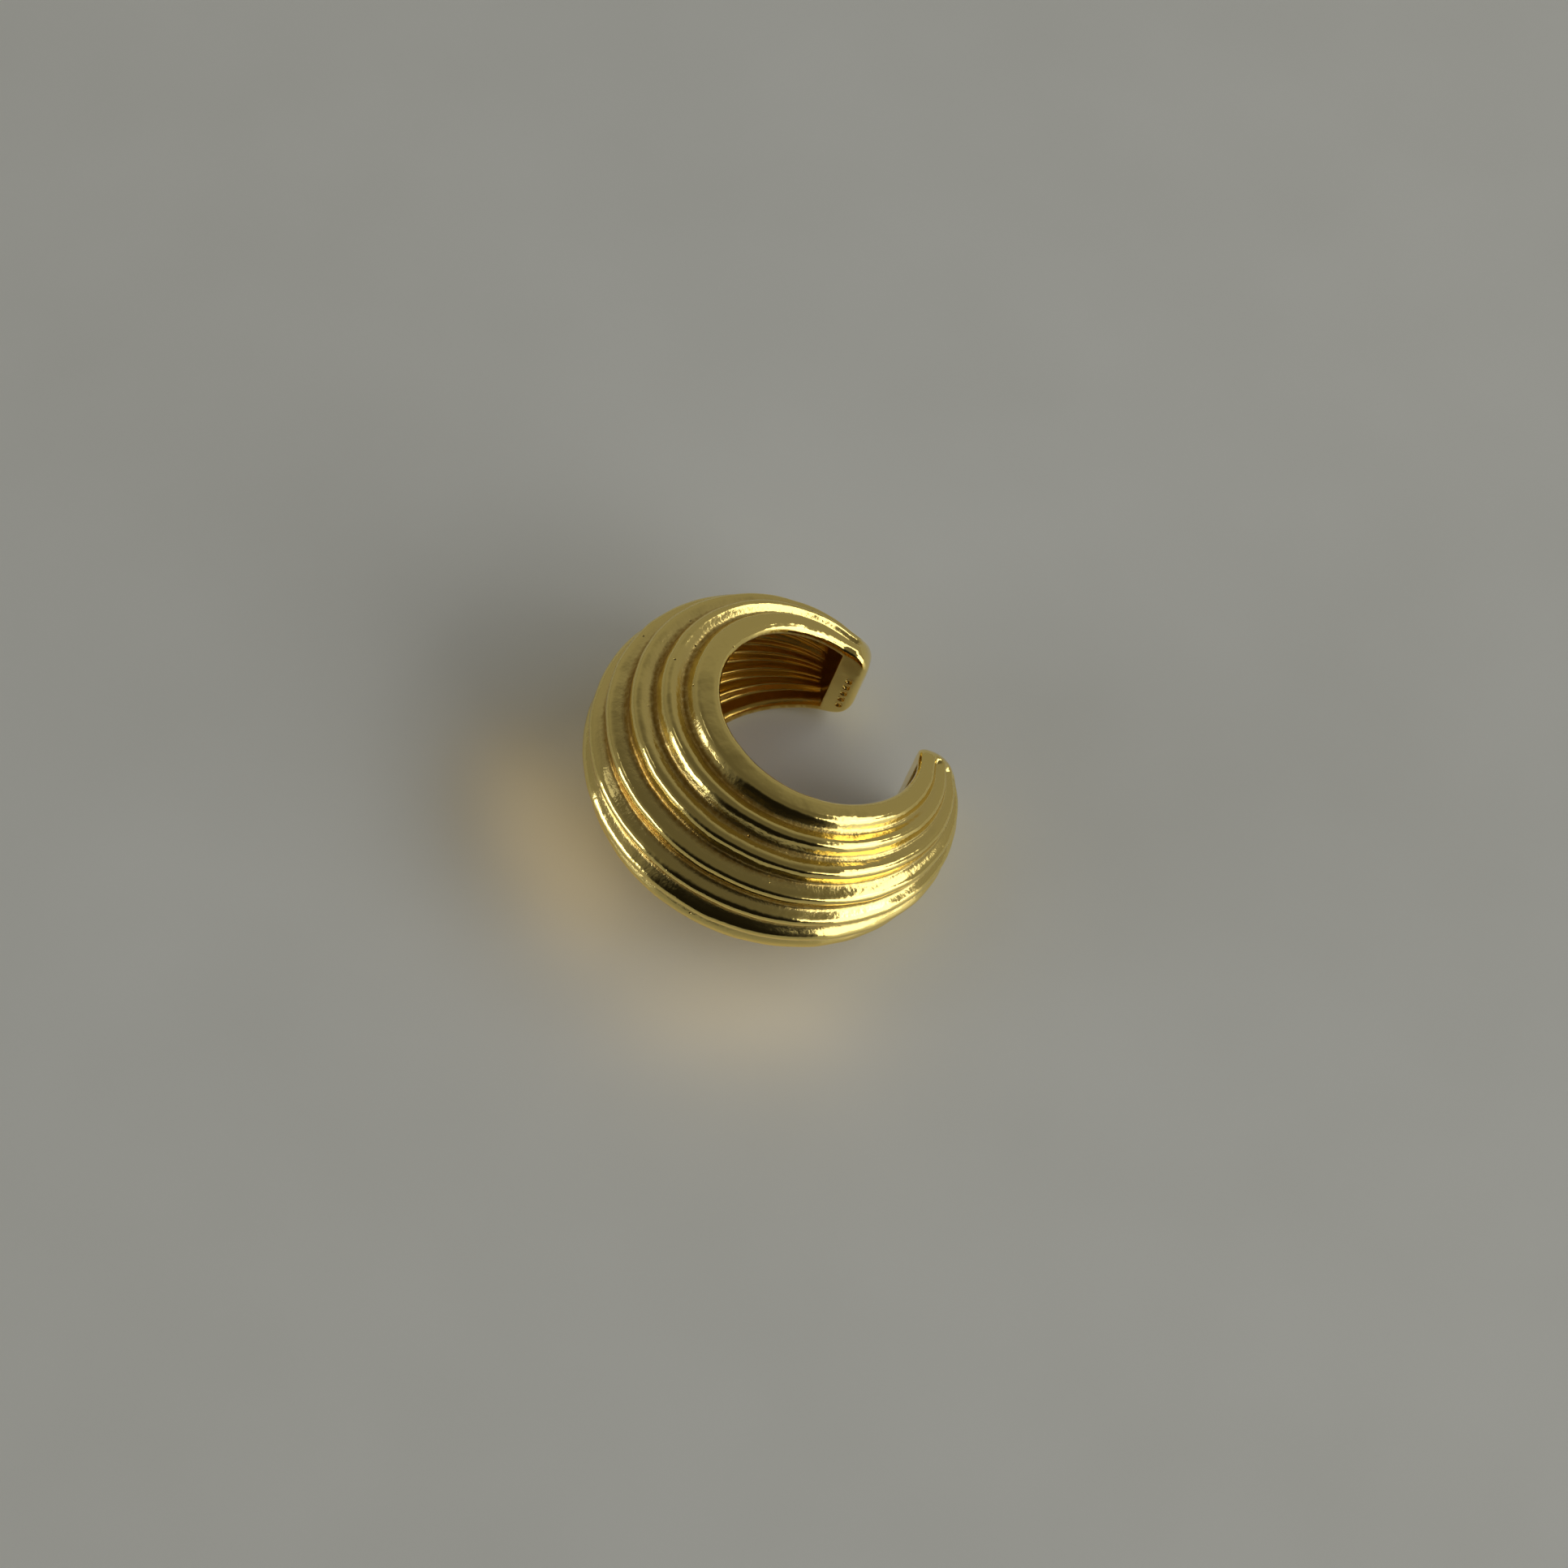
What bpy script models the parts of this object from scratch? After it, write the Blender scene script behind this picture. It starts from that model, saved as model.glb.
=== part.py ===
"""Ribbed ear cuff: one hollow casting in yellow gold plate, in metres, lying on its side.

The band is a C-shaped ring round a circular bore. It is deepest and widest almost
opposite its gap, turned a little towards one tip. Its cross section is an arch with ribs
outside and their hollow backs inside, closed along both edges by a rounded rim. Past the
hollow each arm ends in a solid pad, flat towards the ear and rounded at its end.

The ring frame used while building has the ring's axis along Z and the gap at +X. Angles
round the ring are measured from -X, positive towards the +Y tip. The finished cuff is
leaned over until it rests on its lowest rib and both tips, and its origin is under the
middle of its box.
"""

import math

import bmesh
import bpy
import numpy as np

OBJECT_NAME = "ear_cuff"
CUFF_NODE = "ribbed_cuff"

# The hole that the ear's edge passes, a circle through the inner edges of the rims
BORE_RADIUS = 0.00424

# The band, measured outwards from the bore and from the middle of its width
DOME_DEPTH = 0.00466
DOME_HALF_WIDTH = 0.00385
TIP_DEPTH = 0.00173
TIP_HALF_WIDTH = 0.00186
DEPTH_FALL_POWER = 1.74
WIDTH_FALL_POWER = 2.23
ARCH_POWER = 2.04
WALL = 0.00060

# The arms: where each hollow ends, where the band is deepest, and how much of the way
# from the deepest place to the tip's size is then done
HOLLOW_END_ANGLE = math.radians(138.1)
DOME_TURN = math.radians(13.7)
HOLLOW_SHARE = 0.93

# How far each hollow's end wall leans, its foot being further from the tip than its edge
END_WALL_LEAN = 0.00045

# The pads, with round corners seen from the ear and a round edge seen along the ring's axis
PAD_LENGTH = 0.00120
PAD_CORNER_RADIUS = 0.00080
PAD_EDGE_RADIUS = 0.00040

# The ribs, which run from tip to tip and share the arch's length
RIB_COUNT = 10
RIM_RIB_SHARE = 0.88
GROOVE_DEPTH = 0.00042
GROOVE_POWER = 1.1
BACK_SHARE = 0.75

# Where the grooves fade out on the pad, from the hollow's end
FADE_START = 0.00030
FADE_END = 0.00060

# How finely the loft is cut
BODY_STATIONS = 41
PAD_STATIONS = 3
CORNER_STATIONS = 6
CUTS_PER_RIB = 6
CUTS_PER_BACK = 4
RIM_CUTS = 2
ARCH_SAMPLES = 361

# The finish
GOLD_COLOUR = (0.72, 0.52, 0.20, 1.0)
GOLD_ROUGHNESS = 0.12
SMOOTH_ANGLE = math.radians(38.0)

STEEPEST_LEAN = math.radians(45.0)
LEAN_HALVINGS = 40


def clear_scene():
    """Remove every object that the file opened with."""
    for old in list(bpy.data.objects):
        bpy.data.objects.remove(old, do_unlink=True)


def band_size(share):
    """Depth and half width of the band at a share of an arm, 0 at its deepest and 1 at its tip.

    Both fall by a power of the share.
    """
    depth_fall = (DOME_DEPTH - TIP_DEPTH) * share ** DEPTH_FALL_POWER
    width_fall = (DOME_HALF_WIDTH - TIP_HALF_WIDTH) * share ** WIDTH_FALL_POWER
    return DOME_DEPTH - depth_fall, DOME_HALF_WIDTH - width_fall


def arm_share(angle):
    """Share of an arm at an angle round the ring, measured from the deepest place."""
    turned = angle - DOME_TURN
    end = HOLLOW_END_ANGLE if turned > 0 else -HOLLOW_END_ANGLE
    return HOLLOW_SHARE * turned / (end - DOME_TURN)


def ring_frame(angle):
    """Point on the bore, outward direction and direction of travel at an angle."""
    outward = np.array([-math.cos(angle), math.sin(angle), 0.0])
    travel = np.array([math.sin(angle), math.cos(angle), 0.0])
    return outward * BORE_RADIUS, outward, travel


def rib_positions(cuts):
    """Rib coordinate of each cut across the arch, a whole number at each groove."""
    return np.linspace(0.0, RIB_COUNT, RIB_COUNT * cuts + 1)


def arch_shares(ribs):
    """Share of the arch's length at rib coordinates, the two rim ribs being narrower."""
    first_groove = RIM_RIB_SHARE / (RIB_COUNT - 2 + 2 * RIM_RIB_SHARE)
    rib_marks = [0.0, 1.0, RIB_COUNT - 1.0, RIB_COUNT]
    share_marks = [0.0, first_groove, 1.0 - first_groove, 1.0]
    return np.interp(ribs, rib_marks, share_marks)


def groove_shape(ribs):
    """Depth of the grooves as a share of their full depth, 0 on the crests and the rims.

    Each groove is one wave of a cosine, raised to a power.
    """
    shape = np.abs(np.cos(math.pi * ribs)) ** (2.0 * GROOVE_POWER)
    first_crest = 0.5
    last_crest = RIB_COUNT - first_crest
    return np.where((ribs < first_crest) | (ribs > last_crest), 0.0, shape)


def arch(reach, half_width, ribs, groove):
    """Points of one arch as rows of offset and height, from the lower rim to the upper.

    The arch is a superellipse that starts half a wall outside the bore and reaches its
    crest at the given offset. It is cut at shares of its length, and the grooves are set
    into it along its own normal.
    """
    turn = np.linspace(-math.pi / 2, math.pi / 2, ARCH_SAMPLES)
    power = 2.0 / ARCH_POWER
    foot = WALL / 2
    offset = foot + (reach - foot) * np.abs(np.cos(turn)) ** power
    height = half_width * np.sign(turn) * np.abs(np.sin(turn)) ** power
    step = np.hypot(np.diff(offset), np.diff(height))
    length = np.concatenate([[0.0], np.cumsum(step)])
    places = arch_shares(ribs) * length[-1]
    normal_offset = np.gradient(height, length)
    normal_height = -np.gradient(offset, length)
    sunk = groove * groove_shape(ribs)
    at_offset = np.interp(places, length, offset) - sunk * np.interp(places, length, normal_offset)
    at_height = np.interp(places, length, height) - sunk * np.interp(places, length, normal_height)
    return np.column_stack([at_offset, at_height])


def rim_arc(half_width, first, last):
    """Arc of the upper rim between two angles, measured from the height axis to the bore."""
    radius = WALL / 2
    angle = np.linspace(first, last, RIM_CUTS + 1)
    offset = radius - radius * np.sin(angle)
    height = half_width - radius + radius * np.cos(angle)
    return np.column_stack([offset, height])


def outer_section(depth, half_width, groove):
    """Outside of the band from the lower rim's inner edge, over the ribs, to the upper's."""
    crest = arch(depth, half_width, rib_positions(CUTS_PER_RIB), groove)
    upper = rim_arc(half_width, 0.0, math.pi / 2)[1:]
    lower = upper[::-1] * [1.0, -1.0]
    return np.vstack([lower, crest, upper])


def hollow_section(depth, half_width, groove):
    """Inside of the band from the upper rim's inner edge, along the hollow, to the lower's."""
    ribs = rib_positions(CUTS_PER_BACK)
    back = arch(depth - WALL, half_width - WALL, ribs, groove * BACK_SHARE)
    upper = rim_arc(half_width, math.pi / 2, math.pi)[:-1]
    lower = upper[::-1] * [1.0, -1.0]
    return np.vstack([upper, back[::-1], lower])


def flat_section(half_width):
    """The pad's flat face towards the ear, from the upper rim's inner edge to the lower's."""
    edge = half_width - WALL / 2
    heights = np.linspace(edge, -edge, RIB_COUNT * CUTS_PER_BACK + 2 * RIM_CUTS + 1)
    return np.column_stack([np.zeros_like(heights), heights])


def inset_section(section, depth, half_width, depth_inset, width_inset):
    """A section drawn in towards the middle of the pad, for the rounding of a tip."""
    middle = depth / 2
    narrow = 1.0 - depth_inset / middle
    low = 1.0 - width_inset / half_width
    return np.column_stack([middle + (section[:, 0] - middle) * narrow, section[:, 1] * low])


def round_inset(radius, past):
    """How far a rounding of some radius draws in, some way past the rounding's start."""
    late = max(0.0, past)
    return radius - math.sqrt(max(0.0, radius ** 2 - late ** 2))


def place_section(section, angle, advance):
    """Put a section's points into the ring frame, some way past its place on the arm.

    The way past is one length for all of the points, or a column with one for each.
    """
    point, outward, travel = ring_frame(angle)
    side = 1.0 if angle > 0 else -1.0
    start = point + travel * side * advance
    upward = np.array([0.0, 0.0, 1.0])
    return start + section[:, :1] * outward + section[:, 1:] * upward


def groove_at(depth, half_width):
    """Groove depth of the band where it is smaller, in keeping with its girth."""
    return GROOVE_DEPTH * (depth + half_width) / (DOME_DEPTH + DOME_HALF_WIDTH)


def groove_fade(advance):
    """Share of the groove's depth left some way past the hollow's end, from 1 down to 0."""
    late = min(1.0, max(0.0, advance - FADE_START) / (FADE_END - FADE_START))
    return 1.0 - late * late * (3.0 - 2.0 * late)


def tip_advances():
    """How far the tip's sections lie past the hollow's end, closer together at the end."""
    straight = PAD_LENGTH - PAD_CORNER_RADIUS
    turn = np.linspace(0.0, math.pi / 2, CORNER_STATIONS)[1:]
    flat_part = np.linspace(0.0, straight, PAD_STATIONS)
    return np.concatenate([flat_part, straight + PAD_CORNER_RADIUS * np.sin(turn)])


def tip_rows(side):
    """Outer and flat sections of one tip, from where the hollow ends to the tip's end."""
    outer_rows = []
    flat_rows = []
    angle = side * HOLLOW_END_ANGLE
    for advance in tip_advances():
        share = HOLLOW_SHARE + (1.0 - HOLLOW_SHARE) * advance / PAD_LENGTH
        depth, half_width = band_size(share)
        groove = groove_at(depth, half_width) * groove_fade(advance)
        to_end = PAD_LENGTH - advance
        depth_inset = round_inset(PAD_EDGE_RADIUS, PAD_EDGE_RADIUS - to_end)
        width_inset = round_inset(PAD_CORNER_RADIUS, PAD_CORNER_RADIUS - to_end)
        insets = (depth, half_width, depth_inset, width_inset)
        outer = inset_section(outer_section(depth, half_width, groove), *insets)
        flat = inset_section(flat_section(half_width), *insets)
        outer_rows.append(place_section(outer, angle, advance))
        flat_rows.append(place_section(flat, angle, advance))
    return outer_rows, flat_rows


def end_wall_advance(hollow):
    """Column of how far the last hollow section's points stand back from the wall's edge."""
    offsets = hollow[:, :1]
    return -END_WALL_LEAN * offsets / offsets.max()


def body_rows():
    """Outer and hollow sections of the ribbed band, from one pad round to the other."""
    outer_rows = []
    hollow_rows = []
    for angle in np.linspace(-HOLLOW_END_ANGLE, HOLLOW_END_ANGLE, BODY_STATIONS):
        depth, half_width = band_size(arm_share(angle))
        groove = groove_at(depth, half_width)
        outer = outer_section(depth, half_width, groove)
        hollow = hollow_section(depth, half_width, groove)
        at_end = abs(angle) == HOLLOW_END_ANGLE
        hollow_advance = end_wall_advance(hollow) if at_end else 0.0
        outer_rows.append(place_section(outer, angle, 0.0))
        hollow_rows.append(place_section(hollow, angle, hollow_advance))
    return outer_rows, hollow_rows


class Skin:
    """Points and faces of one closed skin, gathered strip by strip."""

    def __init__(self):
        self.mesh = bmesh.new()

    def add_rows(self, rows):
        """Add each row's points and return them as rows of vertices."""
        return [[self.mesh.verts.new(point) for point in row] for row in rows]

    def close_strip(self, first, second):
        """Join two rows of equal length by faces, three-sided where the rows meet."""
        for index in range(len(first) - 1):
            corners = [first[index], first[index + 1], second[index + 1], second[index]]
            distinct = list(dict.fromkeys(corners))
            self.mesh.faces.new(distinct)

    def close_end(self, loop):
        """Close a flat end with one face."""
        self.mesh.faces.new(loop)


def add_inner_rows(skin, rows, outer_rows):
    """Add inner sections that start and end on the outer rows' last and first vertices."""
    inner = skin.add_rows([row[1:-1] for row in rows])
    return [[outer[-1]] + row + [outer[0]] for row, outer in zip(inner, outer_rows)]


def build_skin():
    """Loft the whole cuff: ribbed outside, hollow, hollow's ends, pads and rounded tips."""
    skin = Skin()
    body_outer, body_hollow = body_rows()
    outer = skin.add_rows(body_outer)
    hollow = add_inner_rows(skin, body_hollow, outer)
    for index in range(len(outer) - 1):
        skin.close_strip(outer[index], outer[index + 1])
        skin.close_strip(hollow[index], hollow[index + 1])
    for side in (-1.0, 1.0):
        end = 0 if side < 0 else -1
        tip_outer, tip_flat = tip_rows(side)
        rows = [outer[end]] + skin.add_rows(tip_outer[1:])
        flats = add_inner_rows(skin, tip_flat, rows)
        strips = [(hollow[end], flats[0])]
        strips += list(zip(rows[:-1], rows[1:]))
        strips += list(zip(flats[:-1], flats[1:]))
        for near, far in strips:
            if side > 0:
                skin.close_strip(near, far)
            else:
                skin.close_strip(far, near)
        loop = rows[-1] + flats[-1][1:-1]
        skin.close_end(loop if side > 0 else loop[::-1])
    return skin.mesh


def leaned(points, lean):
    """Points turned about Y, so that a positive lean lowers the gap side."""
    turned = points.copy()
    turned[:, 0] = points[:, 0] * math.cos(lean) + points[:, 2] * math.sin(lean)
    turned[:, 2] = points[:, 2] * math.cos(lean) - points[:, 0] * math.sin(lean)
    return turned


def resting_lean(points):
    """Lean at which the deepest place of the band and the tips are equally low."""
    dome_side = points[points[:, 0] < 0]
    gap_side = points[points[:, 0] > 0]
    low, high = 0.0, STEEPEST_LEAN
    for _ in range(LEAN_HALVINGS):
        middle = (low + high) / 2
        if leaned(dome_side, middle)[:, 2].min() < leaned(gap_side, middle)[:, 2].min():
            low = middle
        else:
            high = middle
    return (low + high) / 2


def lay_down(mesh):
    """Lean the cuff to its resting place and set its origin under the middle of its box."""
    points = np.array([vert.co for vert in mesh.verts])
    laid = leaned(points, resting_lean(points))
    lowest = laid.min(axis=0)
    highest = laid.max(axis=0)
    origin = np.array([(lowest[0] + highest[0]) / 2, (lowest[1] + highest[1]) / 2, lowest[2]])
    for vert, place in zip(mesh.verts, laid - origin):
        vert.co = place


def gold_plate():
    """Polished yellow gold plate."""
    material = bpy.data.materials.new("polished_gold_plate")
    material.use_nodes = True
    shader = material.node_tree.nodes["Principled BSDF"]
    shader.inputs["Base Color"].default_value = GOLD_COLOUR
    shader.inputs["Metallic"].default_value = 1.0
    shader.inputs["Roughness"].default_value = GOLD_ROUGHNESS
    return material


def build_cuff():
    """Build the cuff and put it in its own collection."""
    skin = build_skin()
    lay_down(skin)
    mesh = bpy.data.meshes.new(CUFF_NODE)
    skin.to_mesh(mesh)
    skin.free()
    mesh.shade_smooth()
    mesh.set_sharp_from_angle(angle=SMOOTH_ANGLE)
    mesh.materials.append(gold_plate())
    cuff = bpy.data.objects.new(CUFF_NODE, mesh)
    collection = bpy.data.collections.new(OBJECT_NAME)
    bpy.context.scene.collection.children.link(collection)
    collection.objects.link(cuff)
    return cuff


clear_scene()
build_cuff()
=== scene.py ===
"""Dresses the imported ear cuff: a ribbed, hollow-backed ring in polished yellow gold plate.

The cuff lies on a satin grey sheet under soft studio lights. Its band is worked out as
surfaces of two parameters, in a ring frame with the ring's axis along Z and the gap at
+X. It is then leaned over to where it rests.
"""

import logging
import math
from dataclasses import dataclass, field
from enum import Enum
from typing import Any

import bmesh
import bpy
import numpy as np
from mathutils import Matrix, Vector


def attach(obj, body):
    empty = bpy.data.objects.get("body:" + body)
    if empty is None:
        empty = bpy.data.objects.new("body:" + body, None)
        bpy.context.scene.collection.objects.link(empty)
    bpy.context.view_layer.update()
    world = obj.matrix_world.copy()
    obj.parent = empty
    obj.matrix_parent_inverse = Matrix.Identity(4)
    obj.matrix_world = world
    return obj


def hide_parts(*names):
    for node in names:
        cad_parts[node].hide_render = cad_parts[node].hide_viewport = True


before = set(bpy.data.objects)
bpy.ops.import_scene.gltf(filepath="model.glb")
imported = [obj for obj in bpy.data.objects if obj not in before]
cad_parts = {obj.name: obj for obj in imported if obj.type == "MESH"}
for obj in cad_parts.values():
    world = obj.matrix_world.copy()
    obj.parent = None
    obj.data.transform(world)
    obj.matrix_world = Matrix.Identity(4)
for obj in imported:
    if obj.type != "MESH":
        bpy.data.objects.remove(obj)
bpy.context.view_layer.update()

MM = 0.001
CUFF_NODE = "ribbed_cuff"
BODY = "root"
Tree = bpy.types.NodeTree
Socket = bpy.types.NodeSocket
Arrays = list[np.ndarray]
WAVES_PER_SIZE = 12
FINE_DETAIL = 2.0

log = logging.getLogger("ear_cuff")


class Attribute(Enum):
    """Values that the cuff's mesh carries for its finish."""

    # Both shares add roughness and painted shade: darker gold down the grooves and in the hollow.
    GROOVE = "groove_depth"
    INSIDE = "inside"


class LightShape(Enum):
    """Blender's names for the shapes of flat lights, and the share of their box that they fill."""

    RECTANGLE = 1.0
    ELLIPSE = math.pi / 4


class NodeKind(Enum):
    """Blender's names for the shader nodes that the finishes use."""

    OUTPUT = "ShaderNodeOutputMaterial"
    PRINCIPLED = "ShaderNodeBsdfPrincipled"
    COORDINATES = "ShaderNodeTexCoord"
    ATTRIBUTE = "ShaderNodeAttribute"
    MAPPING = "ShaderNodeMapping"
    NOISE = "ShaderNodeTexNoise"
    VORONOI = "ShaderNodeTexVoronoi"
    RANGE = "ShaderNodeMapRange"
    MATHS = "ShaderNodeMath"
    MIX = "ShaderNodeMix"
    BUMP = "ShaderNodeBump"
    SPLIT = "ShaderNodeSeparateColor"
    VECTOR_MATHS = "ShaderNodeVectorMath"
    BACKGROUND = "ShaderNodeBackground"
    WORLD_OUTPUT = "ShaderNodeOutputWorld"


def linear_colour(code: str) -> tuple[float, float, float, float]:
    """Turn an sRGB hex code into a linear colour.

    Args:
        code: The colour as "#RRGGBB".

    Returns:
        Red, green, blue and alpha, linear, from 0 to 1.
    """
    parts = np.array([int(code[place:place + 2], 16) for place in (1, 3, 5)]) / 255.0
    curved = ((parts + 0.055) / 1.055) ** 2.4
    red, green, blue = np.where(parts <= 0.04045, parts / 12.92, curved)
    return float(red), float(green), float(blue), 1.0


def add_node(
    tree: Tree,
    kind: NodeKind,
    settings: dict[str | int, Any] | None = None,
    links: dict[str | int, Socket] | None = None,
) -> bpy.types.Node:
    """Add one shader node with its settings and its links.

    Args:
        tree: The node tree that gets the node.
        kind: Which node it is.
        settings: Values by property name, or by input name or number.
        links: Sockets by the input name or number that they feed.

    Returns:
        The new node.
    """
    node = tree.nodes.new(kind.value)
    for name, value in (settings or {}).items():
        if isinstance(name, str) and hasattr(node, name):
            setattr(node, name, value)
        else:
            node.inputs[name].default_value = value
    for name, socket in (links or {}).items():
        tree.links.new(socket, node.inputs[name])
    return node


def add_noise(tree: Tree, place: Socket, size: float, detail: float = FINE_DETAIL) -> Socket:
    """Add a noise pattern.

    Args:
        tree: The node tree that gets the pattern.
        place: Where the pattern is read.
        size: Size of its largest spots, in the unit of the place.
        detail: How many finer sizes are laid over them.

    Returns:
        The pattern's socket, about 0.5 on average.
    """
    settings = {"Scale": 1.0 / size, "Detail": detail}
    return add_node(tree, NodeKind.NOISE, settings, {"Vector": place}).outputs["Fac"]


def add_colour(tree: Tree, code: str) -> Socket:
    """Add one even colour, as a mix that takes nothing of its second colour."""
    settings = {"data_type": "RGBA", 0: 0.0, 6: linear_colour(code)}
    return add_node(tree, NodeKind.MIX, settings).outputs[2]


def add_layer(tree: Tree, under: Socket, code: str, share: Socket) -> Socket:
    """Lay a colour over another one.

    Args:
        tree: The node tree that gets the layer.
        under: The colour below.
        code: The layer's colour as "#RRGGBB".
        share: How far the layer covers what is below, from 0 to 1.

    Returns:
        The socket of the covered colour.
    """
    settings = {"data_type": "RGBA", 7: linear_colour(code)}
    return add_node(tree, NodeKind.MIX, settings, {0: share, 6: under}).outputs[2]


def grid_faces(number: np.ndarray) -> np.ndarray:
    """Faces of a grid of numbered points, with four corners in each row."""
    corners = [number[:-1, :-1], number[:-1, 1:], number[1:, 1:], number[1:, :-1]]
    return np.stack(corners, axis=2).reshape(-1, 4)


def interpolate_rows(wanted: np.ndarray, marks: np.ndarray, values: np.ndarray) -> np.ndarray:
    """Read each row of values at the wanted places, in straight lines between its marks.

    Args:
        wanted: Places to read, one row for each row of marks.
        marks: Rising places of the known values.
        values: Known values, of the marks' shape.

    Returns:
        The values at the wanted places, of their shape.
    """
    after = (marks[:, None, :] < wanted[:, :, None]).sum(axis=2)
    after = np.clip(after, 1, marks.shape[1] - 1)
    near_mark = np.take_along_axis(marks, after - 1, axis=1)
    far_mark = np.take_along_axis(marks, after, axis=1)
    near_value = np.take_along_axis(values, after - 1, axis=1)
    far_value = np.take_along_axis(values, after, axis=1)
    return near_value + (far_value - near_value) * (wanted - near_mark) / (far_mark - near_mark)


def wave_noise(points: np.ndarray, sizes: tuple[float, ...], seed: int) -> np.ndarray:
    """Smooth noise of about unit height, the same at every run.

    It is the sum of sines of the distance along random directions, equally many for
    each size of wave, over the square root of how many there are.

    Args:
        points: Places as rows of x, y and z, in metres.
        sizes: Lengths of the waves, in metres.
        seed: Start of the random directions and phases.

    Returns:
        One value for each point.
    """
    chance = np.random.default_rng(seed)
    directions = chance.normal(size=(len(sizes) * WAVES_PER_SIZE, 3))
    directions /= np.linalg.norm(directions, axis=1, keepdims=True)
    phases = chance.uniform(0.0, 2 * math.pi, len(directions))
    stretch = 2 * math.pi / np.repeat(sizes, WAVES_PER_SIZE)
    turns = points @ (directions * stretch[:, None]).T + phases
    return np.sin(turns).sum(axis=1) / math.sqrt(len(directions))


@dataclass(frozen=True)
class BandForm:
    """Sizes of the cuff's band and the formulas of its surfaces.

    A place along the band is its run: its length along the bore from opposite the gap,
    positive towards the +Y tip, and straight on past the hollow's end. A section is
    measured by its offset outwards from the bore and its height along the ring's axis.
    """

    bore_radius: float = 4.24 * MM
    dome_depth: float = 4.66 * MM
    dome_half_width: float = 3.85 * MM
    tip_depth: float = 1.73 * MM
    tip_half_width: float = 1.86 * MM
    depth_fall_power: float = 1.74
    width_fall_power: float = 2.23
    arch_power: float = 2.04
    wall: float = 0.60 * MM
    hollow_end_angle: float = math.radians(138.1)
    dome_turn: float = math.radians(13.7)
    hollow_share: float = 0.93
    end_wall_lean: float = 0.45 * MM
    end_wall_power: int = 8
    pad_length: float = 1.20 * MM
    pad_corner_radius: float = 0.80 * MM
    pad_edge_radius: float = 0.40 * MM
    rib_count: int = 10
    rim_rib_share: float = 0.88
    groove_depth: float = 0.42 * MM
    groove_power: float = 1.1
    fade_start: float = 0.30 * MM
    fade_end: float = 0.60 * MM
    back_share: float = 0.75
    arch_samples: int = 361

    @property
    def end_run(self) -> float:
        """Run at which the hollow ends."""
        return self.hollow_end_angle * self.bore_radius

    def past_hollow(self, run: np.ndarray) -> np.ndarray:
        """How far each run lies past the hollow's end."""
        return np.maximum(np.abs(run) - self.end_run, 0.0)

    def band_size(self, run: np.ndarray) -> tuple[np.ndarray, np.ndarray]:
        """Depth and half width of the band, which fall by powers of the share of the arm.

        Args:
            run: Runs along the band.

        Returns:
            Depths and half widths at those runs.
        """
        turned = np.clip(run, -self.end_run, self.end_run) / self.bore_radius - self.dome_turn
        arm = np.where(turned > 0, self.hollow_end_angle, -self.hollow_end_angle) - self.dome_turn
        pad_share = self.past_hollow(run) / self.pad_length
        share = self.hollow_share * turned / arm + (1.0 - self.hollow_share) * pad_share
        depth_fall = (self.dome_depth - self.tip_depth) * share ** self.depth_fall_power
        width_fall = (self.dome_half_width - self.tip_half_width) * share ** self.width_fall_power
        return self.dome_depth - depth_fall, self.dome_half_width - width_fall

    def groove_at(self, run: np.ndarray) -> np.ndarray:
        """Depth of the grooves, in keeping with the band's girth and easing out on the pad.

        Args:
            run: Runs along the band.

        Returns:
            Groove depths at those runs.
        """
        depth, half_width = self.band_size(run)
        girth = (depth + half_width) / (self.dome_depth + self.dome_half_width)
        late = (self.past_hollow(run) - self.fade_start) / (self.fade_end - self.fade_start)
        late = np.clip(late, 0.0, 1.0)
        return self.groove_depth * girth * (1.0 - late * late * (3.0 - 2.0 * late))

    def left_by_corner(self, radius: float, half_size: np.ndarray, run: np.ndarray) -> np.ndarray:
        """Share of the band's half size that a round corner at the tip's end leaves.

        Args:
            radius: Radius of the corner.
            half_size: Half of the band's size across the corner, at each run.
            run: Runs along the band.

        Returns:
            1 up to the corner, and less from there to the tip's end.
        """
        into = np.maximum(radius - (self.pad_length - self.past_hollow(run)), 0.0)
        return 1.0 - (radius - np.sqrt(np.maximum(radius ** 2 - into ** 2, 0.0))) / half_size

    def round_off(self, sections: np.ndarray, run: np.ndarray) -> np.ndarray:
        """Draw the last sections of a tip in, along quarter circles seen from two sides.

        Args:
            sections: Offsets and heights, shaped (stations, points, 2).
            run: Run of each station.

        Returns:
            The same sections, those near a tip's end drawn in towards the pad's middle.
        """
        depth, half_width = self.band_size(run)
        narrow = self.left_by_corner(self.pad_edge_radius, depth / 2, run)
        low = self.left_by_corner(self.pad_corner_radius, half_width, run)
        middle = np.stack([depth / 2, np.zeros_like(depth)], axis=1)[:, None, :]
        return middle + (sections - middle) * np.stack([narrow, low], axis=1)[:, None, :]

    def hollow_run(self, sections: np.ndarray, run: np.ndarray) -> np.ndarray:
        """Run of each point of the hollow, drawn back near its ends, where its walls lean.

        The draw is in proportion to the point's offset and to a high power of the run.

        Args:
            sections: Offsets and heights of the hollow, shaped (stations, points, 2).
            run: Run of each station.

        Returns:
            Runs, shaped (stations, points).
        """
        share = sections[..., 0] / sections[..., 0].max(axis=1, keepdims=True)
        nearness = (run / self.end_run) ** self.end_wall_power * np.sign(run)
        return run[:, None] - self.end_wall_lean * share * nearness[:, None]

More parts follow.
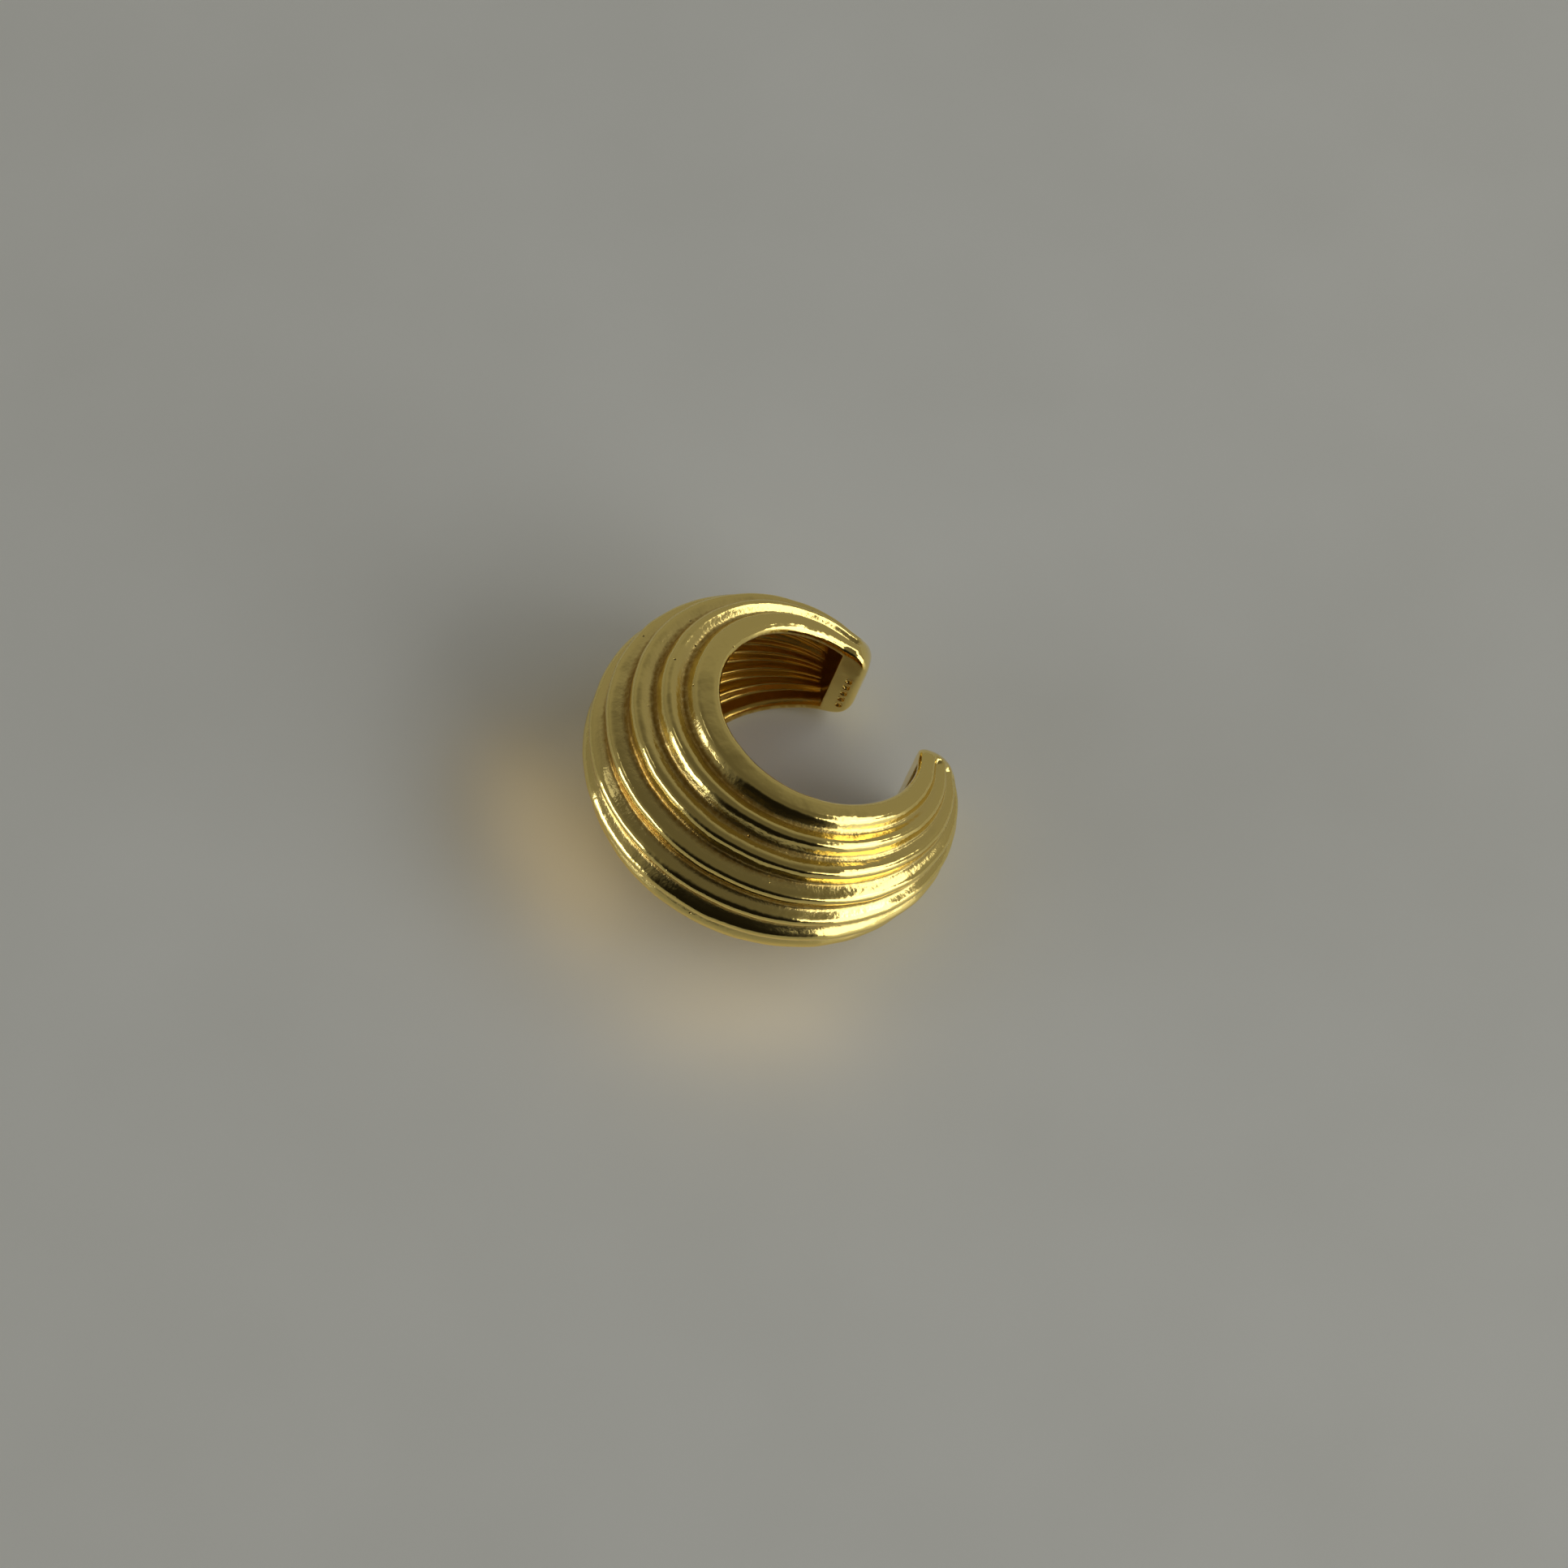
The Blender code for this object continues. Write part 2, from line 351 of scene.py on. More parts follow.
    def groove_shape(self, ribs: np.ndarray) -> np.ndarray:
        """Share of the groove's depth, a power of the cosine across each rib.

        Args:
            ribs: Rib coordinates, whole numbers at the grooves.

        Returns:
            1 at a groove, 0 on a crest and outside the rim ribs' crests.
        """
        shape = np.abs(np.cos(math.pi * ribs)) ** (2.0 * self.groove_power)
        first_crest = 0.5
        return np.where((ribs < first_crest) | (ribs > self.rib_count - first_crest), 0.0, shape)

    def arch(
        self, reach: np.ndarray, half_width: np.ndarray, ribs: np.ndarray, groove: np.ndarray
    ) -> np.ndarray:
        """Arches from the lower rim to the upper, with their grooves.

        Each is half a superellipse, cut at shares of its length, and the grooves are set
        into it along its own normal.

        Args:
            reach: Offset of each arch's crest.
            half_width: Half width of each arch.
            ribs: Rib coordinates of the cuts.
            groove: Groove depth of each arch.

        Returns:
            Offsets and heights, shaped (arches, cuts, 2).
        """
        turn = np.linspace(-math.pi / 2, math.pi / 2, self.arch_samples)
        power = 2.0 / self.arch_power
        foot = self.wall / 2
        offset = foot + (reach[:, None] - foot) * np.abs(np.cos(turn)) ** power
        height = half_width[:, None] * np.sign(turn) * np.abs(np.sin(turn)) ** power
        step = np.hypot(np.diff(offset, axis=1), np.diff(height, axis=1))
        length = np.concatenate([np.zeros((len(reach), 1)), np.cumsum(step, axis=1)], axis=1)
        first_groove = self.rim_rib_share / (self.rib_count - 2 + 2 * self.rim_rib_share)
        rib_marks = [0.0, 1.0, self.rib_count - 1.0, self.rib_count]
        share_marks = [0.0, first_groove, 1.0 - first_groove, 1.0]
        places = np.interp(ribs, rib_marks, share_marks) * length[:, -1:]
        slope = np.arctan2(np.gradient(height, axis=1), np.gradient(offset, axis=1))
        along = interpolate_rows(places, length, np.unwrap(slope, axis=1))
        sunk = groove[:, None] * self.groove_shape(ribs)
        at_offset = interpolate_rows(places, length, offset) - sunk * np.sin(along)
        at_height = interpolate_rows(places, length, height) + sunk * np.cos(along)
        return np.stack([at_offset, at_height], axis=2)

    def rim_arc(self, half_width: np.ndarray, first: float, last: float, cuts: int) -> np.ndarray:
        """Arcs of the upper rim, circles of half the wall.

        Args:
            half_width: Half width of each section.
            first: First angle, from the height axis towards the bore.
            last: Last angle.
            cuts: Number of steps along the arc.

        Returns:
            Offsets and heights, shaped (sections, cuts + 1, 2).
        """
        radius = self.wall / 2
        angle = np.linspace(first, last, cuts + 1)
        offset = np.broadcast_to(radius - radius * np.sin(angle), (len(half_width), cuts + 1))
        height = half_width[:, None] - radius + radius * np.cos(angle)
        return np.stack([offset, height], axis=2)

    def place(self, sections: np.ndarray, run: np.ndarray) -> np.ndarray:
        """Stand sections on the band: round a circle to the hollow's end, then straight on.

        Args:
            sections: Offsets and heights, shaped (stations, points, 2).
            run: Run of each station, or of each point.

        Returns:
            Places in the ring frame, shaped (stations, points, 3).
        """
        run = np.broadcast_to(run if run.ndim == 2 else run[:, None], sections.shape[:2])
        turned = np.clip(run, -self.end_run, self.end_run)
        angle = turned / self.bore_radius
        outward = np.stack([-np.cos(angle), np.sin(angle)], axis=2)
        travel = np.stack([np.sin(angle), np.cos(angle)], axis=2)
        flat = outward * (self.bore_radius + sections[..., :1])
        flat = flat + travel * (run - turned)[..., None]
        return np.concatenate([flat, sections[..., 1:]], axis=2)


@dataclass(frozen=True)
class GoldPlate:
    """Polished yellow gold plate over cast metal, tumbled smooth and buffed along its ribs.

    The eye gets a mirror that wavers: a soft peel left by casting, fine buffing lines
    along the ribs and a few pinholes, their dark colour painted shade. Where a buff can't
    reach, inside the hollow and with a ragged edge at the bottoms of the grooves, the
    gold is duller; its darker, deeper colour there and along the grooves is painted shade.
    """

    slot: str = "gold_plate"
    crest_colour: str = "#F8DF88"
    # Painted shade: slightly darker gold down the grooves, much darker at their bottoms.
    groove_shade_colour: str = "#F2D98A"
    crevice_shade_colour: str = "#A37F38"
    # Painted shade: darker, deeper gold inside the hollow.
    inside_shade_colour: str = "#DFB85C"
    # Painted shade: dark colour in the pinholes.
    pinhole_shade_colour: str = "#5A3D14"
    roughness: float = 0.06
    groove_roughness: float = 0.12
    crevice_roughness: float = 0.14
    inside_roughness: float = 0.14
    cloud_roughness: float = 0.07
    crevice_start: float = 0.72
    crevice_end: float = 0.98
    crevice_raggedness: float = 0.30
    ragged_size: float = 0.16 * MM
    peel_size: float = 0.38 * MM
    peel_height: float = 0.0150 * MM
    peel_detail: float = 1.5
    grain_size: float = 0.11 * MM
    grain_height: float = 0.0110 * MM
    crest_grain: float = 0.10
    drag_width: float = 0.20 * MM
    drag_length: float = 2.8 * MM
    drag_height: float = 0.0022 * MM
    buff_line_width: float = 0.07 * MM
    buff_line_length: float = 1.6 * MM
    buff_line_height: float = 0.0006 * MM
    cloud_size: float = 2.4 * MM
    cloud_detail: float = 3.0
    pinhole_spacing: float = 0.62 * MM
    pinhole_radius: float = 0.055 * MM
    pinhole_depth: float = 0.020 * MM
    pinhole_chance: float = 0.16
    pinhole_flat_share: float = 0.4

    def build(self) -> bpy.types.Material:
        """Make the material.

        Returns:
            The material, with its nodes.
        """
        material = bpy.data.materials.new("polished_gold_plate")
        material.use_nodes = True
        tree = material.node_tree
        tree.nodes.clear()
        coordinates = add_node(tree, NodeKind.COORDINATES)
        place = coordinates.outputs["Object"]
        groove, inside = (
            add_node(tree, NodeKind.ATTRIBUTE, {"attribute_name": attribute.value}).outputs["Fac"]
            for attribute in (Attribute.GROOVE, Attribute.INSIDE)
        )
        crevice = self._crevices(tree, place, groove)
        pinhole = self._pinholes(tree, place)
        cloud = add_noise(tree, place, self.cloud_size, self.cloud_detail)
        settings = {"operation": "MULTIPLY_ADD", 1: self.groove_roughness, 2: self.roughness}
        roughness = add_node(tree, NodeKind.MATHS, settings, {0: groove}).outputs[0]
        for amount, where in (
            (self.cloud_roughness, cloud),
            (self.crevice_roughness, crevice),
            (self.inside_roughness, inside),
        ):
            settings = {"operation": "MULTIPLY_ADD", 1: amount}
            feed = {0: where, 2: roughness}
            roughness = add_node(tree, NodeKind.MATHS, settings, feed).outputs[0]
        colour = add_colour(tree, self.crest_colour)
        # Each layer below is painted shade over the crest colour: grooves, their bottoms, the
        # hollow and the pinholes.
        for shade, where in (
            (self.groove_shade_colour, groove),
            (self.crevice_shade_colour, crevice),
            (self.inside_shade_colour, inside),
            (self.pinhole_shade_colour, pinhole),
        ):
            colour = add_layer(tree, colour, shade, where)
        normal = self._relief(tree, coordinates, groove, pinhole)
        feed = {"Base Color": colour, "Roughness": roughness, "Normal": normal}
        shader = add_node(tree, NodeKind.PRINCIPLED, {"Metallic": 1.0}, feed)
        add_node(tree, NodeKind.OUTPUT, links={"Surface": shader.outputs[0]})
        return material

    def _drawn(self, tree: Tree, chart: Socket, size: tuple[float, float]) -> Socket:
        """Noise drawn out along the ribs.

        Args:
            tree: The material's node tree.
            chart: The chart's coordinates, in metres.
            size: Length along the ribs and width across them.

        Returns:
            The noise's socket.
        """
        stretch = (1.0 / size[0], 1.0 / size[1], 1.0)
        drawn = add_node(tree, NodeKind.MAPPING, {"Scale": stretch}, {"Vector": chart}).outputs[0]
        return add_noise(tree, drawn, 1.0)

    def _crevices(self, tree: Tree, place: Socket, groove: Socket) -> Socket:
        """The bottoms of the grooves, with a ragged edge where the buff has just reached.

        Args:
            tree: The material's node tree.
            place: Object coordinates.
            groove: The share of the groove's depth.

        Returns:
            A socket that is 1 at the bottom of a groove and 0 elsewhere; it adds roughness and
            painted shade, a darker colour.
        """
        ragged = add_noise(tree, place, self.ragged_size)
        settings = {"operation": "MULTIPLY_ADD", 1: self.crevice_raggedness}
        level = add_node(tree, NodeKind.MATHS, settings, {0: ragged, 2: groove}).outputs[0]
        middle = self.crevice_raggedness / 2
        limits = {"From Min": self.crevice_start + middle, "From Max": self.crevice_end + middle}
        return add_node(tree, NodeKind.RANGE, limits, {"Value": level}).outputs[0]

    def _pinholes(self, tree: Tree, place: Socket) -> Socket:
        """Casting pinholes: round spots at the middles of some cells of a cell pattern.

        Args:
            tree: The material's node tree.
            place: Object coordinates.

        Returns:
            A socket that is 1 in a pinhole and 0 elsewhere, which sinks the pit and darkens it
            with painted shade.
        """
        settings = {"Scale": 1.0 / self.pinhole_spacing, "Randomness": 1.0}
        cells = add_node(tree, NodeKind.VORONOI, settings, {"Vector": place})
        reach = self.pinhole_radius / self.pinhole_spacing
        limits = {"From Min": reach, "From Max": reach * self.pinhole_flat_share}
        away = cells.outputs["Distance"]
        spot = add_node(tree, NodeKind.RANGE, limits, {"Value": away}).outputs[0]
        lot = add_node(tree, NodeKind.SPLIT, links={0: cells.outputs["Color"]}).outputs[0]
        settings = {"operation": "LESS_THAN", 1: self.pinhole_chance}
        chosen = add_node(tree, NodeKind.MATHS, settings, {0: lot}).outputs[0]
        feed = {0: spot, 1: chosen}
        return add_node(tree, NodeKind.MATHS, {"operation": "MULTIPLY"}, feed).outputs[0]

    def _relief(
        self, tree: Tree, coordinates: bpy.types.Node, groove: Socket, pinhole: Socket
    ) -> Socket:
        """Fine relief: the casting's peel, its grain in the grooves, and the polishing's lines.

        Args:
            tree: The material's node tree.
            coordinates: The texture coordinate node.
            groove: The share of the groove's depth.
            pinhole: The pinholes' socket.

        Returns:
            The socket of the bent normal.
        """
        place = coordinates.outputs["Object"]
        peel = add_noise(tree, place, self.peel_size, self.peel_detail)
        cast = add_noise(tree, place, self.grain_size)
        # The buff takes most of the casting's grain off the crests and leaves it in the grooves.
        settings = {"operation": "ADD", 1: self.crest_grain}
        left = add_node(tree, NodeKind.MATHS, settings, {0: groove}).outputs[0]
        feed = {0: cast, 1: left}
        grain = add_node(tree, NodeKind.MATHS, {"operation": "MULTIPLY"}, feed).outputs[0]
        chart = coordinates.outputs["UV"]
        drag = self._drawn(tree, chart, (self.drag_length, self.drag_width))
        lines = self._drawn(tree, chart, (self.buff_line_length, self.buff_line_width))
        normal = None
        for height, pattern in (
            (self.peel_height, peel),
            (self.grain_height, grain),
            (self.drag_height, drag),
            (self.buff_line_height, lines),
            (-self.pinhole_depth, pinhole),
        ):
            feed = {"Height": pattern}
            if normal is not None:
                feed["Normal"] = normal
            settings = {"Strength": 1.0, "Distance": abs(height), "invert": height < 0}
            normal = add_node(tree, NodeKind.BUMP, settings, feed).outputs[0]
        return normal


@dataclass(frozen=True)
class SatinSheet:
    """Pale grey moulded sheet, faintly mottled, whose satin face mirrors close things softly."""

    colour: str = "#E9EAE5"
    shade_colour: str = "#E0E1DB"
    roughness: float = 0.34
    mottle_size: float = 9.0 * MM
    grain_size: float = 0.30 * MM
    grain_height: float = 0.003 * MM

    def build(self) -> bpy.types.Material:
        """Make the material.

        Returns:
            The material, with its nodes.
        """
        material = bpy.data.materials.new("satin_grey_sheet")
        material.use_nodes = True
        tree = material.node_tree
        tree.nodes.clear()
        place = add_node(tree, NodeKind.COORDINATES).outputs["Object"]
        mottle = add_noise(tree, place, self.mottle_size)
        grain = add_noise(tree, place, self.grain_size)
        colour = add_layer(tree, add_colour(tree, self.colour), self.shade_colour, mottle)
        settings = {"Strength": 1.0, "Distance": self.grain_height}
        normal = add_node(tree, NodeKind.BUMP, settings, {"Height": grain}).outputs[0]
        feed = {"Base Color": colour, "Normal": normal}
        shader = add_node(tree, NodeKind.PRINCIPLED, {"Roughness": self.roughness}, feed)
        add_node(tree, NodeKind.OUTPUT, links={"Surface": shader.outputs[0]})
        return material


@dataclass(frozen=True)
class PunchMarks:
    """A short row of plain round punch marks on the far pad's flat face."""

    past_hollow: float = 0.66 * MM
    heights: tuple[float, ...] = (0.40 * MM, 0.0, -0.40 * MM, -0.80 * MM, -1.20 * MM)
    radius: float = 0.135 * MM
    depth: float = 0.090 * MM
    lip: float = 0.016 * MM
    lip_place: float = 1.25
    lip_spread: float = 0.22

    def sink(self, past: np.ndarray, height: np.ndarray) -> np.ndarray:
        """Depth of the marks: a round dip with a low lip, both of them bell curves.

        The lip's place and spread are in radii of the mark, and so is what they work on.

        Args:
            past: Distance past the hollow's end.
            height: Height on the pad.

        Returns:
            How far each place is sunk.
        """
        across = past - self.past_hollow
        away = np.stack([np.hypot(across, height - middle) for middle in self.heights])
        share = away.min(axis=0) / self.radius
        dip = np.exp(-share ** 4)
        lip = np.exp(-((share - self.lip_place) / self.lip_spread) ** 2)
        return self.depth * dip - self.lip * lip


@dataclass
class RibbedCuff:
    """The cuff's one casting: ribbed outside, hollow, end walls, pads and rounded tips."""

    form: BandForm = field(default_factory=BandForm)
    finish: GoldPlate = field(default_factory=GoldPlate)
    marks: PunchMarks = field(default_factory=PunchMarks)
    band_stations: int = 211
    straight_stations: int = 11
    corner_stations: int = 28
    cuts_per_rib: int = 13
    rim_cuts: int = 4
    step_cuts: int = 4
    cap_rows: int = 12
    base_fillet: float = 0.05 * MM
    pad_edge: float = 0.07 * MM
    first_pad_station: float = 1.4
    cap_swell: float = 0.04 * MM
    waver_sizes: tuple[float, ...] = (3.1 * MM, 1.9 * MM, 1.1 * MM)
    waver_height: float = 0.011 * MM
    waver_seed: int = 5
    steepest_lean: float = math.radians(45.0)
    lean_halvings: int = 40
    least_climb: float = 1e-6 * MM
    weld_distance: float = 1e-4 * MM
    least_edge: float = 1e-5 * MM

    def build(self) -> bpy.types.Object:
        """Make the cuff's mesh, lay it down and dress it.

        Returns:
            The finished object, in place of the plain solid.
        """
        grids, charts, shades = self._grids()
        points = np.concatenate([grid.reshape(-1, 3) for grid in grids])
        points = self._lay_down(points)
        mesh = self._weld(points, grids, charts, shades)
        self._waver(mesh)
        mesh.shade_smooth()
        cuff = bpy.data.objects.new("polished_ribbed_cuff", mesh)
        bpy.context.scene.collection.objects.link(cuff)
        mesh.materials.append(self.finish.build())
        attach(cuff, BODY)
        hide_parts(CUFF_NODE)
        return cuff

    def _stations(self) -> tuple[np.ndarray, np.ndarray]:
        """Runs of the stations along the band and along one pad, closer together at its end.

        Returns:
            Runs from one hollow's end to the other's, and how far the pad's lie past it.
        """
        form = self.form
        band = np.linspace(-form.end_run, form.end_run, self.band_stations)
        straight = form.pad_length - form.pad_corner_radius
        first = self.first_pad_station * self.pad_edge
        turn = np.linspace(0.0, math.pi / 2, self.corner_stations + 1)[1:]
        pad = np.concatenate([
            np.linspace(first, straight, self.straight_stations),
            straight + form.pad_corner_radius * np.sin(turn),
        ])
        return band, pad

    def _outer_sections(self, run: np.ndarray) -> tuple[np.ndarray, np.ndarray]:
        """Outside of the band, from the lower rim's inner edge to the upper one's.

        Args:
            run: Run of each station.

        Returns:
            Offsets and heights, and each point's share of its groove's depth.
        """
        form = self.form
        depth, half_width = form.band_size(run)
        groove = form.groove_at(run)
        ribs = np.linspace(0.0, form.rib_count, form.rib_count * self.cuts_per_rib + 1)
        crest = form.arch(depth, half_width, ribs, groove)
        upper = form.rim_arc(half_width, 0.0, math.pi / 2, self.rim_cuts)[:, 1:]
        lower = upper[:, ::-1] * [1.0, -1.0]
        fullness = form.groove_shape(ribs) * groove[:, None] / form.groove_depth
        rims = np.zeros((len(run), self.rim_cuts))
        shares = np.concatenate([rims, fullness, rims], axis=1)
        return np.concatenate([lower, crest, upper], axis=1), shares

    def _hollow_sections(self, run: np.ndarray) -> np.ndarray:
        """Inside of the band, from the upper rim's inner edge to the lower one's.

        Args:
            run: Run of each station.

        Returns:
            Offsets and heights.
        """
        form = self.form
        depth, half_width = form.band_size(run)
        ribs = np.linspace(0.0, form.rib_count, form.rib_count * self.cuts_per_rib + 1)
        groove = form.groove_at(run) * form.back_share
        back = form.arch(depth - form.wall, half_width - form.wall, ribs, groove)
        upper = form.rim_arc(half_width, math.pi / 2, math.pi, self.rim_cuts)[:, :-1]
        lower = upper[:, ::-1] * [1.0, -1.0]
        return np.concatenate([upper, back[:, ::-1], lower], axis=1)

    def _flat_sections(self, run: np.ndarray, count: int) -> np.ndarray:
        """The pad's flat face, from the upper rim's inner edge to the lower one's.

        Args:
            run: Run of each station.
            count: Points across the face.

        Returns:
            Offsets of nought, and heights.
        """
        edge = self.form.band_size(run)[1] - self.form.wall / 2
        height = edge[:, None] * np.linspace(1.0, -1.0, count)
        return np.stack([np.zeros_like(height), height], axis=2)

    def _end_wall(
        self, floor: np.ndarray, before: np.ndarray, flat: np.ndarray
    ) -> tuple[np.ndarray, np.ndarray]:
        """The wall that ends the hollow, with a fillet at its foot and a soft pad edge.

        Each point climbs from the hollow's floor to the pad's face: a quarter circle
        into the wall, the wall itself, and a quarter circle out onto the pad. The wall
        leans, so that its foot lies before its top.

        Args:
            floor: The hollow's last section.
            before: The section one station before it.
            flat: The pad's section at the same place.

        Returns:
            Sections of the wall, and how far each point lies past the hollow's end.
        """
        form = self.form
        climb = np.linalg.norm(floor - flat, axis=1)
        foot = np.minimum(self.base_fillet, climb / 2)
        edge = np.minimum(self.pad_edge, climb / 2)
        turn = np.linspace(0.0, math.pi / 2, self.step_cuts + 1)[:, None]
        past = np.concatenate([-foot + foot * np.sin(turn), edge - edge * np.cos(turn)])
        left = np.concatenate([climb - foot + foot * np.cos(turn), edge - edge * np.sin(turn)])
        share = left / np.maximum(climb, self.least_climb)
        past_lean = -form.end_wall_lean * floor[:, 0] / floor[:, 0].max() * share
        sections = flat + (floor - flat) * share[..., None]
        step = 2 * form.end_run / (self.band_stations - 1)
        change = (floor - before) / step * np.minimum(past, 0.0)[..., None]
        return sections + change * share[..., None], past + past_lean

    def _inner_half(
        self, side: float, hollow: np.ndarray, pad: np.ndarray, count: int
    ) -> tuple[np.ndarray, np.ndarray]:
        """The inner surface of one arm past its hollow: its end wall and its pad.

        Args:
            side: 1 for the +Y arm and -1 for the other.
            hollow: The hollow's sections towards this arm's end.
            pad: How far the pad's stations lie past the hollow's end.
            count: Points across.

        Returns:
            Places in the ring frame and the run of each point.
        """
        form = self.form
        end = np.array([side * form.end_run])
        wall, past = self._end_wall(hollow[-1], hollow[-2], self._flat_sections(end, count)[0])
        run = side * (form.end_run + pad)
        flat = form.round_off(self._flat_sections(run, count), run)
        full_run = np.concatenate([
            side * (form.end_run + past), np.broadcast_to(run[:, None], (len(run), count))
        ])
        return form.place(np.concatenate([wall, flat]), full_run), full_run

    def _grids(self) -> tuple[Arrays, Arrays, dict[Attribute, Arrays]]:
        """All surfaces of the cuff in the ring frame.

        Returns:
            Grids of points, of chart places in metres, and of each attribute's values.
        """
        form = self.form
        band, pad = self._stations()
        run = np.concatenate([-(form.end_run + pad)[::-1], band, form.end_run + pad])
        sections, fullness = self._outer_sections(run)
        outer = form.place(form.round_off(sections, run), run)
        count = outer.shape[1]
        hollow = self._hollow_sections(band)
        near, near_run = self._inner_half(-1.0, hollow[::-1], pad, count)
        far, far_run = self._inner_half(1.0, hollow, pad, count)
        hollow_run = form.hollow_run(hollow, band)[1:-1]
        hollow = form.place(hollow[1:-1], hollow_run)
        inner = np.concatenate([near[::-1], hollow, self._stamp(far, far_run)])
        inner_run = np.concatenate([near_run[::-1], hollow_run, far_run])
        outer_run = np.broadcast_to(run[:, None], outer.shape[:2])
        near_cap = self._cap(outer[0], inner[0][::-1], -1.0)
        far_cap = self._cap(outer[-1], inner[-1][::-1], 1.0)
        grids = [outer, inner, near_cap, far_cap]
        charts = [
            self._chart(outer, outer_run),
            self._chart(inner, inner_run),
            self._chart(near_cap, near_cap[..., 0]),
            self._chart(far_cap, far_cap[..., 0]),
        ]
        past = np.abs(inner_run) - form.end_run
        # The hollow's mask: more roughness there, and painted shade in a darker colour.
        inside = 1.0 - np.clip((past + self.pad_edge) / (2 * self.pad_edge), 0.0, 1.0)
        plain = [np.zeros(grid.shape[:2]) for grid in grids]
        shades = {
            Attribute.GROOVE: [fullness] + plain[1:],
            Attribute.INSIDE: [plain[0], inside] + plain[2:],
        }
        return grids, charts, shades

    def _cap(self, outer: np.ndarray, flat: np.ndarray, side: float) -> np.ndarray:
        """The tip's end, ruled from the outer edge to the flat one and slightly swelled.

        The swell is the product of two sines, nought along all the edges.

        Args:
            outer: The outer edge's points.
            flat: The flat edge's points, in the same order.
            side: 1 for the +Y tip and -1 for the other.

        Returns:
            A grid of points.
        """
        down = np.linspace(0.0, 1.0, self.cap_rows + 1)[:, None, None]
        across = np.linspace(0.0, 1.0, len(outer))[None, :, None]
        angle = self.form.hollow_end_angle
        travel = np.array([math.sin(angle), side * math.cos(angle), 0.0])
        swell = self.cap_swell * np.sin(math.pi * down) * np.sin(math.pi * across)
        return outer + (flat - outer) * down + swell * travel

    def _stamp(self, inner: np.ndarray, run: np.ndarray) -> np.ndarray:
        """Sink the punch marks into the +Y arm's inner surface, along the pad's normal.

        Args:
            inner: The arm's inner grid.
            run: Run of each point.

        Returns:
            The grid with its marks.
        """
        angle = self.form.hollow_end_angle
        outward = np.array([-math.cos(angle), math.sin(angle), 0.0])
        past = run - self.form.end_run
        sunk = np.where(past > self.pad_edge, self.marks.sink(past, inner[..., 2]), 0.0)
        return inner + sunk[..., None] * outward

    def _chart(self, grid: np.ndarray, run: np.ndarray) -> np.ndarray:
        """Chart of a grid, so that a pattern can follow the ribs.

        Args:
            grid: Points, shaped (rows, columns, 3).
            run: Run of each point.

        Returns:
            Run along the band, and distance across from the middle column, in metres.
        """
        step = np.linalg.norm(np.diff(grid, axis=1), axis=2)
        across = np.concatenate([np.zeros((len(grid), 1)), np.cumsum(step, axis=1)], axis=1)
        return np.stack([run, across - across[:, -1:] / 2], axis=2)

    def _leaned(self, points: np.ndarray, lean: float) -> np.ndarray:
        """Points turned about Y, so that a positive lean lowers the gap's side."""
        cosine, sine = math.cos(lean), math.sin(lean)
        return points @ np.array([[cosine, 0, -sine], [0, 1, 0], [sine, 0, cosine]])

    def _lay_down(self, points: np.ndarray) -> np.ndarray:
        """Lean the cuff until its band and its tips are equally low, by halving the lean.

        Args:
            points: Places in the ring frame.

        Returns:
            The same places, with the origin under the middle of their box.
        """
        dome = points[points[:, 0] < 0]
        tips = points[points[:, 0] > 0]
        low, high = 0.0, self.steepest_lean
        for _ in range(self.lean_halvings):
            middle = (low + high) / 2
            if self._leaned(dome, middle)[:, 2].min() < self._leaned(tips, middle)[:, 2].min():
                low = middle
            else:
                high = middle
        laid = self._leaned(points, (low + high) / 2)
        least, most = laid.min(axis=0), laid.max(axis=0)
        return laid - [(least[0] + most[0]) / 2, (least[1] + most[1]) / 2, least[2]]

    def _weld(
        self, points: np.ndarray, grids: Arrays, charts: Arrays, shades: dict[Attribute, Arrays]
    ) -> bpy.types.Mesh:
        """Put all grids into one mesh and weld them where they meet.

        Args:
            points: Places of all the grids' points, in order.
            grids: The grids, for their shapes.
            charts: Chart places of each grid.
            shades: Values of each attribute at each grid's points.

        Returns:
            The closed mesh, with its chart and its attributes.
        """
        faces, start = [], 0
        for grid in grids:
            rows, columns = grid.shape[:2]
            number = start + np.arange(rows * columns).reshape(rows, columns)
            faces.append(grid_faces(number))
            start += rows * columns
        quads = np.concatenate(faces)
        mesh = bpy.data.meshes.new("polished_ribbed_cuff")
        mesh.vertices.add(len(points))
        mesh.vertices.foreach_set("co", points.astype(np.float32).ravel())
        mesh.loops.add(quads.size)
        mesh.loops.foreach_set("vertex_index", quads.astype(np.int32).ravel())
        mesh.polygons.add(len(quads))
        mesh.polygons.foreach_set("loop_start", np.arange(0, quads.size, 4, dtype=np.int32))
        mesh.update(calc_edges=True)
        chart = np.concatenate([places.reshape(-1, 2) for places in charts])[quads.ravel()]
        mesh.uv_layers.new(name="chart").data.foreach_set("uv", chart.astype(np.float32).ravel())
        for attribute, values in shades.items():
            share = np.concatenate([value.ravel() for value in values]).astype(np.float32)
            mesh.attributes.new(attribute.value, "FLOAT", "POINT").data.foreach_set("value", share)
        welded = bmesh.new()
        welded.from_mesh(mesh)
        bmesh.ops.remove_doubles(welded, verts=welded.verts, dist=self.weld_distance)
        bmesh.ops.dissolve_degenerate(welded, edges=welded.edges, dist=self.least_edge)
        bmesh.ops.recalc_face_normals(welded, faces=welded.faces)
        welded.to_mesh(mesh)
        welded.free()
        return mesh

